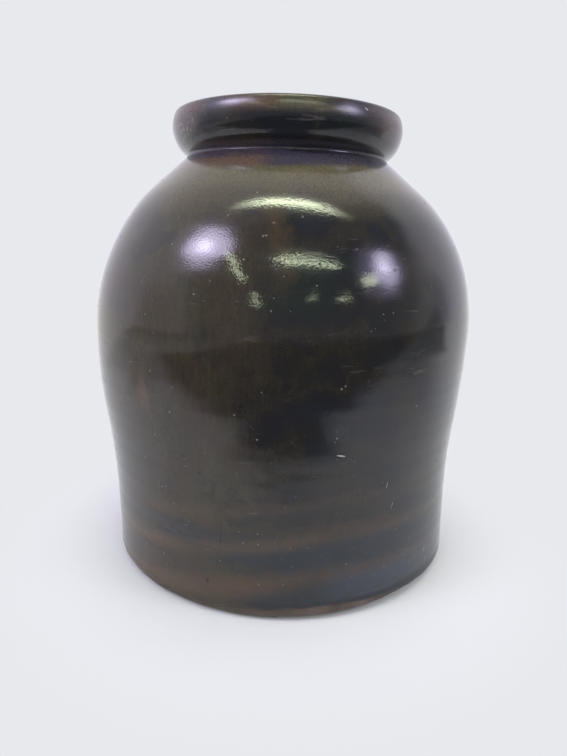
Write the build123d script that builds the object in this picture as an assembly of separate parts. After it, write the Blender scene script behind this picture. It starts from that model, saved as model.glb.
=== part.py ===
"""A wheel-thrown stoneware storage jar with a rolled rim, covered in dark slip glaze.

The jar is one piece of fired clay with a coat of glaze on its outside and another on its inside.
It is turned about Z. The origin is the middle of the foot, on the surface that the jar stands on.
Sizes are in millimetres and angles in degrees. Sections are drawn in the XZ plane, X outwards.
"""

import os
from math import asin, atan, cos, degrees, radians, sin, sqrt, tan

from build123d import *

# Wall, from the foot up to the neck
wall = 8.5  # thickness, measured square to the outer face
wall_radius = 110.5  # outside of the upright lower wall
waist_height = 41.0  # where the lower wall starts to swell
belly_swell = 7.0  # how far the belly stands out beyond the lower wall
belly_height = 144.5  # height of the widest part
shoulder_radius = 115.0  # curve of the lower shoulder, from the belly up
shoulder_turn = 24.5  # lean from upright at which the lower shoulder meets the upper
crown_radius = 103.5  # curve of the upper shoulder, which is rounder
slope_angle = 48.5  # lean from upright of the straight slope under the neck
neck_radius = 59.7  # bottom of the groove between the shoulder and the rim

# Rolled rim
roll_radius = 17.9  # curve of the roll's outer face
roll_overhang = 9.2  # how far the roll stands out beyond the neck
roll_rise = 8.4  # from the widest line of the roll up to the flat on its top
roll_edge = 2.4  # rounding between the roll's face and its top
lip_edge = 4.0  # rounding between the top and the throat
neck_cove = 1.6  # rounding at the bottom of the groove

# Foot and floor
floor = 10.5  # thickness of the floor over the flat ring of the foot
foot_ring = 18.0  # width of the flat ring that the jar stands on
foot_bevel = 1.5  # bevel trimmed round the ring's outer edge
dish_depth = 1.5  # hollow of the underside inside the ring
floor_corner = 14.0  # rounding inside, between the wall and the floor

# Glaze
glaze = 0.5  # thickness of the glaze
bare_band = 5.5  # height of the bare clay at the foot, where the glaze was wiped off
overrun = 1.0  # how far a cutting shape runs past what it cuts

# Places that follow from the sizes
turn, lean = radians(shoulder_turn), radians(slope_angle)
belly_radius = wall_radius + belly_swell
swell_turn = 2 * atan(belly_swell / (belly_height - waist_height))
swell_radius = (belly_height - waist_height) / (2 * sin(swell_turn))
crown_x = belly_radius - shoulder_radius + (shoulder_radius - crown_radius) * cos(turn)
crown_z = belly_height + (shoulder_radius - crown_radius) * sin(turn)
slope_radius = crown_x + crown_radius * cos(lean)
slope_height = crown_z + crown_radius * sin(lean)
neck_height = slope_height + (slope_radius - neck_radius) / tan(lean)
roll_centre_x = neck_radius + roll_overhang - roll_radius
roll_centre_z = neck_height + sqrt(roll_radius**2 - (neck_radius - roll_centre_x) ** 2)
rim_top = roll_centre_z + roll_rise
throat_radius = neck_radius - wall
lip_radius = throat_radius + lip_edge
dish_radius = wall_radius - foot_ring


def wall_line(depth, low):
    """Edges of the wall at a depth under its outer face, from the height low up to the neck."""
    upright = Line((wall_radius - depth, low), (wall_radius - depth, waist_height))
    bend = degrees(swell_turn)
    flare = CenterArc((wall_radius + swell_radius, waist_height), swell_radius + depth, 180, -bend)
    swell = CenterArc((belly_radius - swell_radius, belly_height), swell_radius - depth, -bend, bend)
    shoulder_centre = (belly_radius - shoulder_radius, belly_height)
    shoulder = CenterArc(shoulder_centre, shoulder_radius - depth, 0, shoulder_turn)
    crown = CenterArc((crown_x, crown_z), crown_radius - depth, shoulder_turn, slope_angle - shoulder_turn)
    slope = Line(crown @ 1, (neck_radius - depth * cos(lean), neck_height - depth * sin(lean)))
    return [upright, flare, swell, shoulder, crown, slope]


def underside_line():
    """Edges of the foot, from the axis outwards: a shallow hollow cone and the flat ring around it."""
    return [Line((0, dish_depth), (dish_radius, 0)), Line((dish_radius, 0), (wall_radius, 0))]


def rim_line():
    """Edges of the rim, from the groove up over the roll and down the throat to the inner face of the wall."""
    low_angle = -degrees(asin((roll_centre_z - neck_height) / roll_radius))
    high_angle = degrees(asin(roll_rise / roll_radius))
    roll = CenterArc((roll_centre_x, roll_centre_z), roll_radius, low_angle, high_angle - low_angle)
    top = Line(roll @ 1, (throat_radius, rim_top))
    throat = Line(top @ 1, (throat_radius, neck_height))
    bend = CenterArc((neck_radius, neck_height), wall, 180, slope_angle)
    return [roll, top, throat, bend]


def clay_section():
    """Half section of the clay, with its corners rounded."""
    inside = [Line((wall_radius - wall, floor), (0, floor)), Line((0, floor), (0, dish_depth))]
    edges = underside_line() + wall_line(0, 0) + rim_line() + wall_line(wall, floor) + inside
    section = make_face(edges)
    section = chamfer(section.vertices().sort_by_distance((wall_radius, 0))[0], foot_bevel)
    roundings = [
        ((neck_radius, neck_height), neck_cove),
        (rim_line()[0] @ 1, roll_edge),
        ((throat_radius, rim_top), lip_edge),
        ((wall_radius - wall, floor), floor_corner),
    ]
    for place, radius in roundings:
        corner = section.vertices().sort_by_distance(place)[0]
        section = fillet(corner, radius)
    return section


def core_section():
    """Half of the space inside a line up the middle of the wall, which parts the inner glaze from the outer."""
    middle = wall_line(wall / 2, bare_band)
    crest = rim_top + glaze + overrun
    neck = Line(middle[-1] @ 1, (lip_radius, rim_top))
    rise = Line(neck @ 1, (lip_radius, crest))
    edges = middle + [neck, rise, Line(rise @ 1, (0, crest)), Line((0, crest), (0, bare_band))]
    return make_face(edges + [Line((0, bare_band), middle[0] @ 0)])


def glaze_sections(clay):
    """Half sections of the outer and the inner coat: a skin around the clay, from the bare band upwards."""
    reach = belly_radius + glaze + overrun
    above_band = Pos(0, bare_band) * Rectangle(reach, rim_top + overrun, align=Align.MIN)
    skin = (offset(clay, glaze) - clay) & above_band
    core = core_section()
    return skin - core, skin & core


def turned(section):
    """The solid that a half section makes when it is turned about Z."""
    return revolve(Plane.XZ * section, Axis.Z)


os.makedirs("parts", exist_ok=True)
clay = clay_section()
outer_coat, inner_coat = glaze_sections(clay)
pieces = {
    "thrown_body": turned(clay),
    "outer_glaze": turned(outer_coat),
    "inner_glaze": turned(inner_coat),
}
for name, piece in pieces.items():
    export_step(piece, f"parts/{name}.step")
    print(name, "volume", round(piece.volume), "size", piece.bounding_box().size)
print("height", round(rim_top + glaze, 2), "neck", round(neck_height, 2), "throat", round(throat_radius, 2))
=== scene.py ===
"""A dark slip-glazed stoneware jar with a rolled rim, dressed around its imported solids.

Sizes of the form are in millimetres and degrees, as a potter would note them. Finishes, lamps and
meshes are in metres. The jar stands on Z = 0 with its axis on Z, and its front faces -Y.
An azimuth is measured from the front, and grows towards +X.
"""

import logging
import math
from dataclasses import dataclass, field
from enum import Enum
from functools import cached_property, partial, reduce
from typing import Optional, Sequence, Tuple

import bpy
import numpy as np
from mathutils import Matrix, Vector


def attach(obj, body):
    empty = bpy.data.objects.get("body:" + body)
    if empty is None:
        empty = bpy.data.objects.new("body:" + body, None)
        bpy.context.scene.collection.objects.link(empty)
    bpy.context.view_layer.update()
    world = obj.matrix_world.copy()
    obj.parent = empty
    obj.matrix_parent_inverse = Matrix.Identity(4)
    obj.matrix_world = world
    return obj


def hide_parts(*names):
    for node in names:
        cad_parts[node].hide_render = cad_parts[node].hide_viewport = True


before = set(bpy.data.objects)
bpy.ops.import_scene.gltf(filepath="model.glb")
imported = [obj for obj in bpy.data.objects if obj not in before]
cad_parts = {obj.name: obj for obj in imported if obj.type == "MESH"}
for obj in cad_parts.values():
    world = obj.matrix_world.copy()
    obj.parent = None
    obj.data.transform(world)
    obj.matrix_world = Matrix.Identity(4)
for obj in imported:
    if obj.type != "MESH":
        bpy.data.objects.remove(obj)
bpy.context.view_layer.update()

MM = 0.001
BODY = "root"
FULL_TURN = 2 * math.pi
TINY = 1e-6

log = logging.getLogger("jar")

Colour = Tuple[float, float, float]
Place = Tuple[float, float, float]
Span = Tuple[float, float]
Socket = bpy.types.NodeSocket

VIOLET: Colour = (0.66, 0.58, 1.0)
LAVENDER: Colour = (0.79, 0.72, 1.0)
PALE_VIOLET: Colour = (0.88, 0.83, 1.0)
TUBE: Colour = (0.89, 1.0, 0.69)
WHITE: Colour = (1.0, 1.0, 1.0)
BACKDROP: Colour = (0.80, 0.815, 0.85)


class Slot(Enum):
    """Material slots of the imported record."""

    CLAY = "stoneware_clay"
    SLIP = "dark_slip_glaze"
    LINING = "lining_glaze"


class Node(Enum):
    """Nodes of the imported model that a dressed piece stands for."""

    CLAY = "thrown_body"
    SLIP = "outer_glaze"
    LINING = "inner_glaze"


class Grain(Enum):
    """How a noise is stretched on the wall."""

    EVEN = (1.0, 1.0, 1.0)
    RINGS = (0.12, 0.12, 1.0)
    RUNS = (1.0, 1.0, 0.1)


def share(value: np.ndarray, start: float, end: float) -> np.ndarray:
    """Straight change from nothing at the start to one at the end."""
    return np.clip((value - start) / (end - start), 0.0, 1.0)


def hump(value: np.ndarray, middle: float, reach: float) -> np.ndarray:
    """Bell that is one at its middle."""
    return np.exp(-(((value - middle) / reach) ** 2))


def way_along(path: np.ndarray) -> np.ndarray:
    """Distance of each point of a path from its first, along the path."""
    return np.concatenate(([0.0], np.cumsum(np.hypot(*np.diff(path, axis=0).T))))


def toward(azimuth: float, elevation: float) -> Vector:
    """Direction from the jar to a lamp or a part of the room.

    Args:
        azimuth: Its azimuth in degrees.
        elevation: Its angle over the horizon in degrees.

    Returns:
        The direction.
    """
    turn, rise = math.radians(azimuth), math.radians(elevation)
    return Vector((math.sin(turn) * math.cos(rise), -math.cos(turn) * math.cos(rise), math.sin(rise)))


@dataclass(frozen=True)
class Ripple:
    """A smooth, seeded wave around the jar that closes on itself."""

    knots: int
    depth: float
    seed: int

    def at(self, turn: np.ndarray) -> np.ndarray:
        """Height of the wave.

        Args:
            turn: Azimuths in radians.

        Returns:
            The wave at each azimuth, within plus and minus its depth.
        """
        values = np.random.default_rng(self.seed).uniform(-self.depth, self.depth, self.knots)
        spot = (turn % FULL_TURN) / FULL_TURN * self.knots
        low = np.floor(spot).astype(int)
        part = spot - low
        blend = part * part * (3 - 2 * part)
        return values[low % self.knots] * (1 - blend) + values[(low + 1) % self.knots] * blend


@dataclass(frozen=True)
class JarForm:
    """Half section of the jar, with the same named sizes as its source, in millimetres."""

    wall: float = 8.5
    wall_radius: float = 110.5
    waist_height: float = 41.0
    belly_swell: float = 7.0
    belly_height: float = 144.5
    shoulder_radius: float = 115.0
    shoulder_turn: float = 24.5
    crown_radius: float = 103.5
    slope_angle: float = 48.5
    neck_radius: float = 59.7
    roll_radius: float = 17.9
    roll_overhang: float = 9.2
    roll_rise: float = 8.4
    roll_edge: float = 2.4
    lip_edge: float = 4.0
    neck_cove: float = 1.6
    least_cove: float = 0.6
    floor: float = 10.5
    foot_ring: float = 18.0
    foot_bevel: float = 1.5
    dish_depth: float = 1.5
    floor_corner: float = 14.0
    glaze: float = 0.5
    bare_band: float = 5.5
    wall_step: float = 1.6
    rim_step: float = 0.7
    inner_coarse: float = 1.5

    @property
    def belly_radius(self) -> float:
        """Outside of the clay at its widest."""
        return self.wall_radius + self.belly_swell

    @property
    def swell_turn(self) -> float:
        """Turn of each of the two curves that make the swell, in radians."""
        return 2 * math.atan(self.belly_swell / (self.belly_height - self.waist_height))

    @property
    def swell_radius(self) -> float:
        """Radius of each of the two curves that make the swell."""
        return (self.belly_height - self.waist_height) / (2 * math.sin(self.swell_turn))

    @property
    def lean(self) -> float:
        """Lean from upright of the slope under the neck, in radians."""
        return math.radians(self.slope_angle)

    @property
    def crown_centre(self) -> Span:
        """Centre of the upper shoulder's curve."""
        off = self.shoulder_radius - self.crown_radius
        turn = math.radians(self.shoulder_turn)
        across = self.belly_radius - self.shoulder_radius + off * math.cos(turn)
        return across, self.belly_height + off * math.sin(turn)

    @property
    def neck_height(self) -> float:
        """Height of the groove between the shoulder and the rim."""
        across, up = self.crown_centre
        slope_radius = across + self.crown_radius * math.cos(self.lean)
        slope_height = up + self.crown_radius * math.sin(self.lean)
        return slope_height + (slope_radius - self.neck_radius) / math.tan(self.lean)

    @property
    def roll_centre(self) -> Span:
        """Centre of the roll's outer face."""
        across = self.neck_radius + self.roll_overhang - self.roll_radius
        rise = math.sqrt(self.roll_radius**2 - (self.neck_radius - across) ** 2)
        return across, self.neck_height + rise

    @property
    def rim_top(self) -> float:
        """Height of the clay's flat top."""
        return self.roll_centre[1] + self.roll_rise

    @property
    def throat_radius(self) -> float:
        """Inside of the clay at the throat."""
        return self.neck_radius - self.wall

    @property
    def lip_radius(self) -> float:
        """Radius where the two coats of glaze part on the flat top."""
        return self.throat_radius + self.lip_edge

    @staticmethod
    def sweep(centre: Span, radius: float, start: float, end: float, step: float) -> np.ndarray:
        """Points along a circular curve of the section.

        Args:
            centre: Its centre.
            radius: Its radius.
            start: Angle of its first point in radians, from the outward direction.
            end: Angle of its last point.
            step: Longest distance between points.

        Returns:
            Points as rows of radius and height.
        """
        count = max(2, math.ceil(abs(end - start) * radius / step) + 1)
        angles = np.linspace(start, end, count)
        return np.column_stack((centre[0] + radius * np.cos(angles), centre[1] + radius * np.sin(angles)))

    @staticmethod
    def straight(start: Sequence[float], end: Sequence[float], step: float) -> np.ndarray:
        """Points along a straight part of the section, no further apart than the step."""
        return np.linspace(start, end, max(2, math.ceil(math.dist(start, end) / step) + 1))

    @staticmethod
    def joined(*parts: np.ndarray) -> np.ndarray:
        """One path from parts that meet, without doubled points.

        Args:
            parts: The parts in order.

        Returns:
            The path.
        """
        path = [parts[0]]
        for part in parts[1:]:
            path.append(part[1:] if math.dist(path[-1][-1], part[0]) < TINY else part)
        return np.vstack(path)

    @staticmethod
    def rounded(path: np.ndarray, corner: Sequence[float], radius: float, count: int = 9) -> np.ndarray:
        """The path with one of its corners rounded.

        Args:
            path: Points of the section.
            corner: Place of the corner.
            radius: Radius of the rounding.
            count: Points along the rounding.

        Returns:
            The new path.
        """
        where = int(np.argmin(np.hypot(*(path - np.asarray(corner)).T)))
        before, after = path[where] - path[where - 1], path[where + 1] - path[where]
        cosine = float(before @ after / (np.linalg.norm(before) * np.linalg.norm(after)))
        turn = math.acos(max(-1.0, min(1.0, cosine)))
        reach = radius * math.tan(turn / 2)
        along = way_along(path)
        first, last = along[where] - reach, along[where] + reach
        ends = [np.array([np.interp(s, along, path[:, k]) for k in (0, 1)]) for s in (first, last)]
        t = np.linspace(0.0, 1.0, count)[:, None]
        weight = math.cos(turn / 2)
        top = (1 - t) ** 2 * ends[0] + 2 * weight * t * (1 - t) * path[where] + t**2 * ends[1]
        arc = top / ((1 - t) ** 2 + 2 * weight * t * (1 - t) + t**2)
        return np.vstack((path[along < first - TINY], arc, path[along > last + TINY]))

    def wall_line(self, depth: float, low: float, step: float) -> np.ndarray:
        """The wall's section at a depth under its outer face, from the foot up to the neck.

        Args:
            depth: Depth under the clay's outer face; less than nothing is outside it.
            low: Height of the first point.
            step: Longest distance between points.

        Returns:
            Points of the wall's section.
        """
        bend, turn = self.swell_turn, math.radians(self.shoulder_turn)
        face = self.wall_radius - depth
        flare_centre = (self.wall_radius + self.swell_radius, self.waist_height)
        swell_centre = (self.belly_radius - self.swell_radius, self.belly_height)
        shoulder_centre = (self.belly_radius - self.shoulder_radius, self.belly_height)
        crown = self.sweep(self.crown_centre, self.crown_radius - depth, turn, self.lean, step)
        neck = (
            self.neck_radius - depth * math.cos(self.lean),
            self.neck_height - depth * math.sin(self.lean),
        )
        return self.joined(
            self.straight((face, low), (face, self.waist_height), step),
            self.sweep(flare_centre, self.swell_radius + depth, math.pi, math.pi - bend, step),
            self.sweep(swell_centre, self.swell_radius - depth, -bend, 0.0, step),
            self.sweep(shoulder_centre, self.shoulder_radius - depth, 0.0, turn, step),
            crown,
            self.straight(crown[-1], neck, step),
        )

    def roll_line(self, skin: float, step: float) -> np.ndarray:
        """The rim's section from the groove over the roll to the edge of the throat.

        Args:
            skin: Thickness of the glaze over the clay.
            step: Longest distance between points.

        Returns:
            Points of the rim's section.
        """
        sine, cosine = math.sin(self.lean), math.cos(self.lean)
        radius = self.roll_radius + skin
        start = np.array([self.neck_radius + skin * cosine, self.neck_height + skin * sine])
        way = np.array([-sine, cosine])
        off = start - np.asarray(self.roll_centre)
        half, rest = float(off @ way), float(off @ off) - radius**2
        root = math.sqrt(max(0.0, half * half - rest))
        meet = start + way * min((-half - root, -half + root), key=abs)
        low = math.atan2(meet[1] - self.roll_centre[1], meet[0] - self.roll_centre[0])
        high = math.asin((self.roll_rise + skin) / radius)
        roll = self.sweep(self.roll_centre, radius, low, high, step)
        top = self.straight(roll[-1], (self.throat_radius - skin, self.rim_top + skin), step)
        return self.joined(roll, top)

    def skin_line(self, skin: float, low: float, fine: float = 1.0) -> np.ndarray:
        """The whole face of the jar, from the foot's outside over the rim to the middle of the floor.

        Args:
            skin: Thickness of the glaze over the clay; nothing gives the clay's own face.
            low: Height of the first point.
            fine: Factor on the distance between points.

        Returns:
            Points of the section.
        """
        wall_step, rim_step = self.wall_step * fine, self.rim_step * fine
        roll = self.roll_line(skin, rim_step)
        outside = self.wall_line(-skin, low, wall_step)
        outside = outside[outside[:, 1] < roll[0][1] - MM]
        wall_step, rim_step = wall_step * self.inner_coarse, rim_step * self.inner_coarse
        throat = self.straight(roll[-1], (self.throat_radius - skin, self.neck_height), rim_step)
        neck = (self.neck_radius, self.neck_height)
        bend = self.sweep(neck, self.wall + skin, math.pi, math.pi + self.lean, rim_step)
        inner = self.wall_line(self.wall + skin, self.floor + skin, wall_step)[::-1]
        floor = self.straight(inner[-1], (0.0, self.floor + skin), wall_step)
        edge = roll[np.argmax(roll[:, 1] > self.rim_top + skin - TINY)]
        path = self.joined(outside, roll, throat, bend, inner, floor)
        path = self.rounded(path, roll[0], max(self.least_cove, self.neck_cove - skin))
        path = self.rounded(path, edge, self.roll_edge + skin)
        path = self.rounded(path, roll[-1], self.lip_edge + skin, 13)
        return self.rounded(path, inner[-1], self.floor_corner - skin, 15)

    def outside_of(self, path: np.ndarray) -> np.ndarray:
        """The part of a skin line from the foot to where the coats part on the lip."""
        return path[: self.parting(path) + 1]

    def inside_of(self, path: np.ndarray) -> np.ndarray:
        """The part of a skin line from where the coats part down to the floor."""
        return path[self.parting(path) :]

    def parting(self, path: np.ndarray) -> int:
        """Index of the point on the lip where the coats part."""
        on_top = (path[:, 1] > self.rim_top - 0.2) & (path[:, 0] >= self.lip_radius - TINY)
        return int(np.where(on_top)[0][-1])

    def worn_edge(self, undercut: float) -> float:
        """Radius at which the foot's worn edge meets the ground."""
        return self.wall_radius - self.foot_bevel - undercut / 2

    def underside(self, step: float, undercut: float) -> np.ndarray:
        """Section of the foot from the axis outwards: a shallow hollow, the flat ring and the worn edge.

        Args:
            step: Longest distance between points, five times that of the worn edge.
            undercut: Height to which the edge is worn.

        Returns:
            Points of the section.
        """
        ring, edge = self.wall_radius - self.foot_ring, self.worn_edge(undercut)
        return self.joined(
            self.straight((0.0, self.dish_depth), (ring, 0.0), step),
            self.straight((ring, 0.0), (edge, 0.0), step),
            self.straight((edge, 0.0), (self.wall_radius, undercut), step / 5),
        )


@dataclass(frozen=True)
class Hand:
    """What the potter's hand left in the form: drift of the axis, throwing rings, a ragged glaze line."""

    heights: Tuple[float, ...] = (0.0, 40.0, 80.0, 120.0, 160.0, 200.0, 245.0, 275.0)
    drift: Tuple[float, ...] = (2.75, 1.65, 0.5, -0.15, 0.4, 1.1, 0.1, 0.1)
    belly_ease: float = 0.3
    ease_zone: Span = (144.0, 40.0)
    shoulder_fill: float = 0.7
    fill_zone: Span = (226.0, 14.0)
    oval: float = 0.12
    oval_turn: float = 0.6
    ring_pitch: float = 13.0
    ring_depth: float = 0.03
    ring_climb: float = 0.35
    ring_end: Span = (236.0, 206.0)
    ring_growth: Span = (150.0, 60.0)
    finger_pitch: float = 15.0
    finger_depth: float = 0.55
    finger_edge: float = 1.6
    rim_wave: Ripple = Ripple(9, 0.22, 31)
    rim_sag: float = 0.2
    line_waves: Tuple[Ripple, ...] = (Ripple(9, 0.6, 3), Ripple(31, 0.6, 5), Ripple(110, 0.55, 8))
    line_fade: float = 17.0
    line_low: float = -1.6
    line_high: float = 5.2
    line_middle: float = 15.0
    line_reach: float = 38.0

    def lean(self, height: np.ndarray) -> np.ndarray:
        """Sideways drift of the jar's middle: a smooth curve through the noted drifts.

        Args:
            height: Heights.

        Returns:
            Drift at each height.
        """
        knots, drift = np.array(self.heights), np.array(self.drift)
        slopes = np.gradient(drift, knots)
        low = np.clip(np.searchsorted(knots, height) - 1, 0, len(knots) - 2)
        span = knots[low + 1] - knots[low]
        t = np.clip((height - knots[low]) / span, 0.0, 1.0)
        return (
            (2 * t**3 - 3 * t**2 + 1) * drift[low]
            + (t**3 - 2 * t**2 + t) * span * slopes[low]
            + (3 * t**2 - 2 * t**3) * drift[low + 1]
            + (t**3 - t**2) * span * slopes[low + 1]
        )

    def swell(self, turn: np.ndarray, height: np.ndarray) -> np.ndarray:
        """How far every layer of the wall stands from its drawn section.

        Args:
            turn: Azimuths in radians.
            height: Heights.

        Returns:
            Distance outwards, the same for clay and glaze.
        """
        ease = self.belly_ease * hump(height, *self.ease_zone)
        fill = self.shoulder_fill * hump(height, *self.fill_zone)
        return self.oval * np.sin(2 * turn + self.oval_turn) - ease + fill

    def rings(self, turn: np.ndarray, height: np.ndarray) -> np.ndarray:
        """Shallow turning rings on the outside, stronger towards the foot.

        Args:
            turn: Azimuths in radians.
            height: Heights.

        Returns:
            Height of the rings.
        """
        climb = FULL_TURN * (height / self.ring_pitch + turn / FULL_TURN * self.ring_climb)
        wave = np.sin(climb) + 0.6 * np.sin(climb * 1.73 + 1.1)
        fade = share(height, *self.ring_end) * (0.55 + 0.45 * share(height, *self.ring_growth))
        return self.ring_depth * wave * fade

    def fingers(self, turn: np.ndarray, way: np.ndarray) -> np.ndarray:
        """A spiral left by the fingers inside.

        Args:
            turn: Azimuths in radians.
            way: Distance along the section.

        Returns:
            Depth of the spiral.
        """
        climb = way / self.finger_pitch - turn / FULL_TURN
        return self.finger_depth * (0.5 + 0.5 * np.sin(FULL_TURN * climb)) ** self.finger_edge

    def line(self, turn: np.ndarray) -> np.ndarray:
        """The ragged lower edge of the outer glaze.

        Args:
            turn: Azimuths in radians.

        Returns:
            Its height over the drawn one.
        """
        off = (np.degrees(turn) - self.line_middle + 180.0) % 360.0 - 180.0
        wiped = self.line_low + self.line_high * hump(off, 0.0, self.line_reach)
        return sum((wave.at(turn) for wave in self.line_waves), wiped)


def solid(name: str, points: np.ndarray, faces: Sequence[Sequence[int]]) -> bpy.types.Object:
    """A smooth-shaded mesh object in the scene.

    Args:
        name: Name of the piece.
        points: Its points in metres.
        faces: Its faces, as rows of point numbers.

    Returns:
        The new object.
    """
    used = np.unique(np.concatenate([np.asarray(face) for face in faces]))
    fresh = np.full(len(points), -1)
    fresh[used] = np.arange(len(used))
    mesh = bpy.data.meshes.new(name)
    mesh.from_pydata(points[used].tolist(), [], [[int(fresh[i]) for i in face] for face in faces])
    mesh.validate()
    mesh.shade_smooth()
    piece = bpy.data.objects.new(name, mesh)
    bpy.context.collection.objects.link(piece)
    return piece


def sheet(name: str, wide: float, deep: float) -> bpy.types.Object:
    """A flat sheet about the origin.

    Args:
        name: Name of the sheet.
        wide: Half of its width in metres.
        deep: Half of its depth in metres.

    Returns:
        The new object.
    """
    corners = [(-wide, -deep, 0.0), (wide, -deep, 0.0), (wide, deep, 0.0), (-wide, deep, 0.0)]
    return solid(name, np.array(corners), [(0, 1, 2, 3)])


@dataclass
class Lathe:
    """Turns a section about Z, with a wave on it that can differ all round."""

    columns: int = 384
    axis_zone: float = 30.0

    def turns(self) -> np.ndarray:
        """Azimuths of the columns."""
        return np.arange(self.columns)[None, :] * FULL_TURN / self.columns

    @staticmethod
    def normals(path: np.ndarray) -> np.ndarray:
        """Directions square to a path, on its right when it is walked from end to end.

        Args:
            path: Points of the path.

        Returns:
            A direction for each point.
        """
        way = np.gradient(path, axis=0)
        out = np.column_stack((way[:, 1], -way[:, 0]))
        return out / np.maximum(np.hypot(*out.T), 1e-9)[:, None]

    def body(
        self,
        name: str,
        path: np.ndarray,
        lift: np.ndarray,
        rise: np.ndarray,
        hand: Hand,
        loop: bool = False,
        tuck: object = 0.0,
    ) -> bpy.types.Object:
        """Makes the turned mesh.

        Args:
            name: Name of the new piece.
            path: Section, as rows of radius and height in millimetres.
            lift: Distance out of the section for each row and column.
            rise: Extra height for each row and column.
            hand: Drift and swell shared by every layer.
            loop: True where the last row joins the first.
            tuck: How far each row and column is drawn in towards the axis.

        Returns:
            The new object.
        """
        turn, out = self.turns(), self.normals(path)
        height = path[:, 1:] + out[:, 1:] * lift + rise
        near_axis = share(path[:, :1], 0.0, self.axis_zone)
        radius = path[:, :1] + out[:, :1] * lift + hand.swell(turn, height) * near_axis - tuck
        across, along = radius * np.sin(turn) + hand.lean(height), -radius * np.cos(turn)
        points = np.stack((across, along, height), axis=-1) * MM
        rows = len(path)
        index = np.arange(rows * self.columns).reshape(rows, self.columns)
        poles = np.where(path[:, 0] < TINY)[0]
        for row in poles:
            index[row, :] = index[row, 0]
            points[row, 0] = points[row].mean(axis=0)
        faces = []
        for row in range(rows if loop else rows - 1):
            low, high = index[row], index[(row + 1) % rows]
            low_next, high_next = np.roll(low, -1), np.roll(high, -1)
            if row in poles:
                faces += list(zip(low, high_next, high))
            elif (row + 1) % rows in poles:
                faces += list(zip(low, low_next, high))
            else:
                faces += list(zip(low, low_next, high_next, high))
        return solid(name, points.reshape(-1, 3), faces)


class Tree:
    """Short ways to add nodes to a node tree. A number or a socket will do for each value."""

    def __init__(self, tree: bpy.types.NodeTree) -> None:
        """Keeps the tree."""
        self.tree = tree

    def add(self, kind: str, **settings: object) -> bpy.types.Node:
        """Adds a node.

        Args:
            kind: Blender's name for it.
            settings: Its properties.

        Returns:
            The node.
        """
        node = self.tree.nodes.new("ShaderNode" + kind)
        for key, value in settings.items():
            setattr(node, key, value)
        return node

    def feed(self, socket: Socket, value: object) -> None:
        """Gives a socket a link, a number or a colour.

        Args:
            socket: The socket.
            value: Its value or another node's socket.
        """
        if isinstance(value, bpy.types.NodeSocket):
            self.tree.links.new(value, socket)
        elif isinstance(value, tuple) and len(socket.default_value) == 4:
            socket.default_value = (*value, 1.0)
        else:
            socket.default_value = value

    def sum(self, kind: str, *values: object) -> Socket:
        """Arithmetic on numbers.

        Args:
            kind: Blender's name for the operation.
            values: The numbers.

        Returns:
            The socket with the answer.
        """
        node = self.add("Math", operation=kind)
        for socket, value in zip(node.inputs, values):
            self.feed(socket, value)
        return node.outputs[0]

    def times(self, *values: object) -> Socket:
        """Product of numbers."""
        return reduce(partial(self.sum, "MULTIPLY"), values)

    def plus(self, first: object, second: object) -> Socket:
        """Sum of two numbers."""
        return self.sum("ADD", first, second)

    def less(self, first: object, second: object) -> Socket:
        """The first number less the second."""
        return self.sum("SUBTRACT", first, second)

    def apart(self, value: object, middle: float = 0.0) -> Socket:
        """Distance of a number from a middle."""
        return self.sum("ABSOLUTE", self.less(value, middle))

    def scaled(self, value: object, factor: object, start: object) -> Socket:
        """A number times a factor, counted from a start."""
        return self.sum("MULTIPLY_ADD", value, factor, start)

    def step(self, value: object, low: float, high: float, bottom: float = 0.0, top: float = 1.0) -> Socket:
        """A smooth step.

        Args:
            value: Number to step on.
            low: Where the step starts, which may be the higher number.
            high: Where the step ends.
            bottom: Result before the step.
            top: Result after the step.

        Returns:
            The socket with the answer.
        """
        node = self.add("MapRange", interpolation_type="SMOOTHSTEP")
        self.feed(node.inputs["Value"], value)
        for key, number in zip(("From Min", "From Max", "To Min", "To Max"), (low, high, bottom, top)):
            node.inputs[key].default_value = number
        return node.outputs["Result"]

    def blend(self, part: object, first: object, second: object) -> Socket:
        """A mix of two colours.

        Args:
            part: Share of the second colour.
            first: First colour.
            second: Second colour.

        Returns:
            The socket with the colour.
        """
        node = self.add("Mix", data_type="RGBA", clamp_factor=True)
        for place, value in ((0, part), (6, first), (7, second)):
            self.feed(node.inputs[place], value)
        return node.outputs[2]

    def shade(self, part: object, first: Socket, second: Socket) -> Socket:
        """A mix of two shaders.

        Args:
            part: Share of the second shader.
            first: First shader.
            second: Second shader.

        Returns:
            The socket with the shader.
        """
        node = self.add("MixShader")
        for socket, value in zip(node.inputs, (part, first, second)):
            self.feed(socket, value)
        return node.outputs[0]

    def vector(self, kind: str, first: Socket, second: Sequence[float]) -> Socket:
        """A number from two vectors.

        Args:
            kind: Blender's name for the operation.
            first: Socket with the first vector.
            second: The second vector.

        Returns:
            The socket with the answer.
        """
        node = self.add("VectorMath", operation=kind)
        self.feed(node.inputs[0], first)
        node.inputs[1].default_value = second
        return node.outputs["Value"]


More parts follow.
